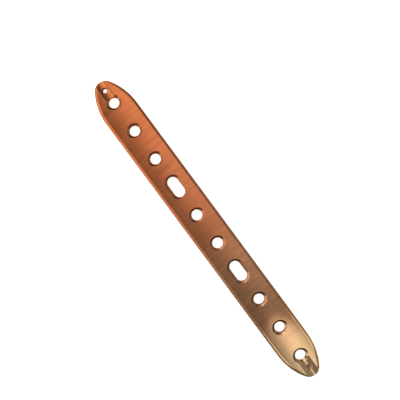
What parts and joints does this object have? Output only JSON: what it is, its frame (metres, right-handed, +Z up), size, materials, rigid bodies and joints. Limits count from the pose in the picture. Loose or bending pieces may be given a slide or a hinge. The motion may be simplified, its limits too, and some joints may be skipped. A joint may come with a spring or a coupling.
{
  "type": "orthopedic bone plate",
  "caption": "Straight bone plate in bronze anodised titanium with in-line round screw holes, short slots, rounded ends, a hollowed bone face and a hook groove at each end.",
  "frame": {"origin": "middle of the plate at the level of the surface it lies on, under its domed outer face", "axes": "+X along the plate to the end with the blind mark, +Y across it, +Z up out of the hollowed bone face"},
  "size_m": [0.167, 0.0174, 0.0054],
  "materials": {
    "anodised_titanium": "satin"
  },
  "bodies": {
    "root": {"bone_plate": "anodised_titanium"}
  },
  "joints": []
}
